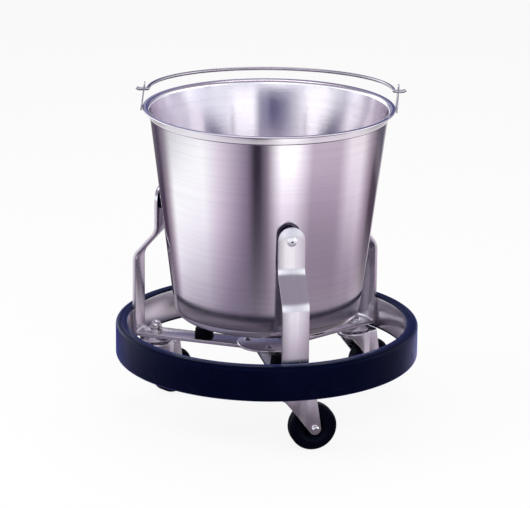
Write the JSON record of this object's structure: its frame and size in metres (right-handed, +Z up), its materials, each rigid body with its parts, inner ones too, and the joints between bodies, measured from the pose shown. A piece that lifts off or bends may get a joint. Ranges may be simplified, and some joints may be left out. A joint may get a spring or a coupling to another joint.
{
  "type": "kick bucket",
  "caption": "Stainless steel pail with a wire bail, held between bent uprights of a low rolling frame with a navy bumper ring and swivel casters.",
  "frame": {"origin": "on the floor at the middle of the bumper ring", "axes": "+Z up through the middle of the ring; +X to the right, along the bail's hinge line; +Y to the back, where the bail lies"},
  "size_m": [0.372, 0.372, 0.4155],
  "materials": {
    "pail_steel": "satin spun stainless with fine horizontal turning marks",
    "frame_steel": "satin brushed stainless flat bar",
    "bail_steel": "drawn stainless wire, satin",
    "caster_steel": "bright zinc plated pressed steel",
    "fastener_steel": "polished plated fasteners",
    "bumper_vinyl": "navy vinyl, semi-gloss",
    "button_rubber": "dark navy rubber, semi-matt",
    "pad_rubber": "black rubber, matt",
    "tyre_rubber": "black hard rubber, semi-gloss",
    "wheel_core": "black moulded wheel centre"
  },
  "bodies": {
    "frame": {"hub_plate": "frame_steel", "ring_band": "frame_steel", "bumper": "bumper_vinyl", "arm_front": "frame_steel", "hub_rivet_front": "fastener_steel", "upright_button_front": "button_rubber", "upright_rivet_front": "fastener_steel", "arm_pad_front": "pad_rubber", "pad_screw_front": "fastener_steel", "stem_front": "caster_steel", "stem_washer_front": "fastener_steel", "acorn_nut_front": "fastener_steel", "top_race_front": "caster_steel", "arm_right": "frame_steel", "hub_rivet_right": "fastener_steel", "upright_button_right": "button_rubber", "upright_rivet_right": "fastener_steel", "arm_pad_right": "pad_rubber", "pad_screw_right": "fastener_steel", "stem_right": "caster_steel", "stem_washer_right": "fastener_steel", "acorn_nut_right": "fastener_steel", "top_race_right": "caster_steel", "arm_left": "frame_steel", "hub_rivet_left": "fastener_steel", "upright_button_left": "button_rubber", "upright_rivet_left": "fastener_steel", "arm_pad_left": "pad_rubber", "pad_screw_left": "fastener_steel", "stem_left": "caster_steel", "stem_washer_left": "fastener_steel", "acorn_nut_left": "fastener_steel", "top_race_left": "caster_steel"},
    "swivel_front": {"ball_ring_front": "fastener_steel", "fork_front": "caster_steel", "axle_front": "fastener_steel", "axle_nut_front": "fastener_steel", "wheel_bush_front": "caster_steel"},
    "wheel_front": {"wheel_core_front": "wheel_core", "tyre_front": "tyre_rubber"},
    "swivel_right": {"ball_ring_right": "fastener_steel", "fork_right": "caster_steel", "axle_right": "fastener_steel", "axle_nut_right": "fastener_steel", "wheel_bush_right": "caster_steel"},
    "wheel_right": {"wheel_core_right": "wheel_core", "tyre_right": "tyre_rubber"},
    "swivel_left": {"ball_ring_left": "fastener_steel", "fork_left": "caster_steel", "axle_left": "fastener_steel", "axle_nut_left": "fastener_steel", "wheel_bush_left": "caster_steel"},
    "wheel_left": {"wheel_core_left": "wheel_core", "tyre_left": "tyre_rubber"},
    "pail": {"pail": "pail_steel", "ear_right": "pail_steel", "ear_left": "pail_steel"},
    "bail": {"bail": "bail_steel"}
  },
  "joints": [
    {"name": "swivel_front_turn", "type": "hinge", "parent": "frame", "child": "swivel_front", "pos_m": [0.02911, -0.14307, 0.07], "axis": [0, 0, 1], "continuous": true},
    {"name": "wheel_front_spin", "type": "hinge", "parent": "swivel_front", "child": "wheel_front", "pos_m": [0.05519, -0.13608, 0.0288], "axis": [0.2588, -0.9659, 0], "continuous": true},
    {"name": "swivel_right_turn", "type": "hinge", "parent": "frame", "child": "swivel_right", "pos_m": [0.10935, 0.09674, 0.07], "axis": [0, 0, 1], "continuous": true},
    {"name": "wheel_right_spin", "type": "hinge", "parent": "swivel_right", "child": "wheel_right", "pos_m": [0.13091, 0.11299, 0.0288], "axis": [0.6018, -0.7986, 0], "continuous": true},
    {"name": "swivel_left_turn", "type": "hinge", "parent": "frame", "child": "swivel_left", "pos_m": [-0.13845, 0.04633, 0.07], "axis": [0, 0, 1], "continuous": true},
    {"name": "wheel_left_spin", "type": "hinge", "parent": "swivel_left", "child": "wheel_left", "pos_m": [-0.11936, 0.06542, 0.0288], "axis": [0.7071, -0.7071, 0], "continuous": true},
    {"name": "pail_lift", "type": "slide", "parent": "frame", "child": "pail", "axis": [0, 0, 1], "range_m": [0, 0.3]},
    {"name": "bail_swing", "type": "hinge", "parent": "pail", "child": "bail", "pos_m": [0, 0, 0.4068], "axis": [1, 0, 0], "range_deg": [0, 185.8]}
  ]
}
